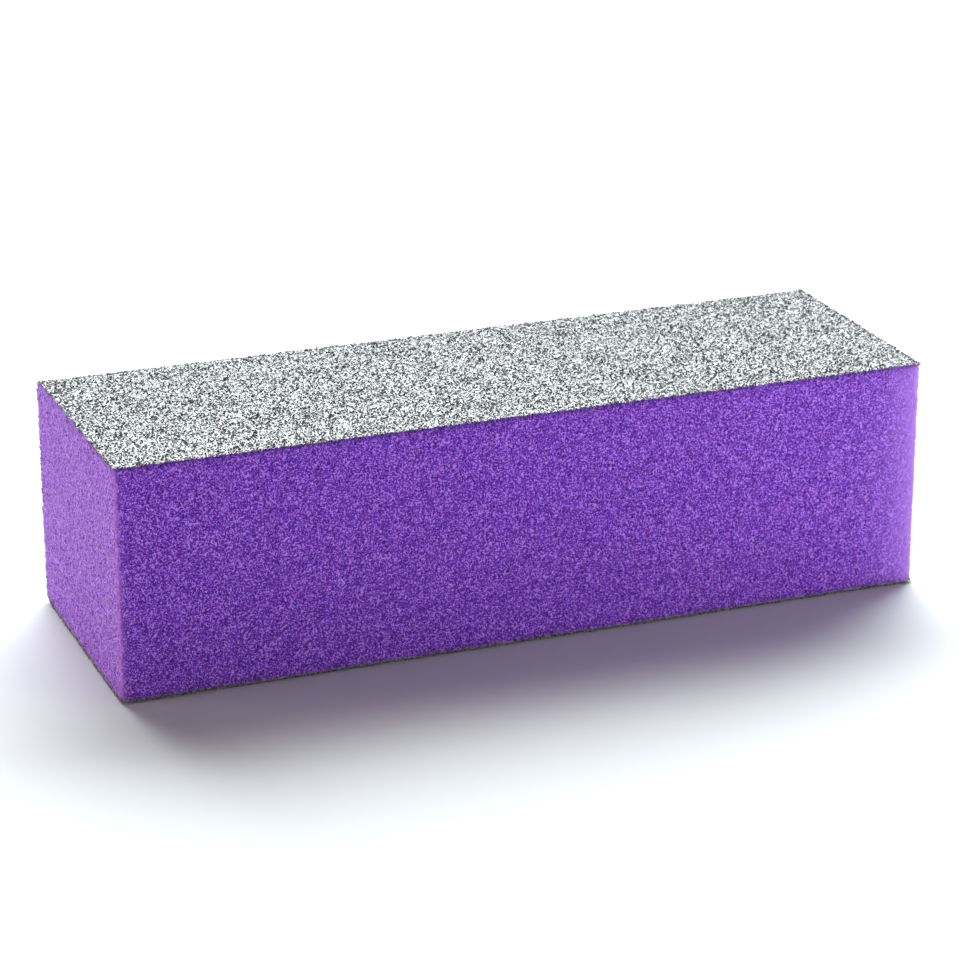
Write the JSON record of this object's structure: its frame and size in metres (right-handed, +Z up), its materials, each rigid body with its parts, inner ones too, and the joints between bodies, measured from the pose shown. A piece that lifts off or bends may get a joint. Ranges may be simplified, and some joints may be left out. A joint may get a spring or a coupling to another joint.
{
  "type": "nail buffer block",
  "caption": "Rectangular foam block with coarse abrasive bonded to its top, back and bottom long faces, and bare cut foam on the front long face and both ends.",
  "frame": {"origin": "centre of the bottom face's rectangle, on the underside", "axes": "+X along the block's length, -Y out of the bare long face, +Z up out of the top abrasive face"},
  "size_m": [0.09, 0.03, 0.0254],
  "materials": {
    "foam": "matte open-cell polyurethane foam with fine cut cells",
    "make_resin": "dark cured resin that beds the grain",
    "grit": "coarse angular silicon carbide grain with glinting facets",
    "size_resin": "thin glossy cured resin over the grain"
  },
  "bodies": {
    "root": {"foam_core": "foam", "top_make_coat": "make_resin", "top_grit": "grit", "top_size_coat": "size_resin", "back_make_coat": "make_resin", "back_grit": "grit", "back_size_coat": "size_resin", "bottom_make_coat": "make_resin", "bottom_grit": "grit", "bottom_size_coat": "size_resin"}
  },
  "joints": []
}
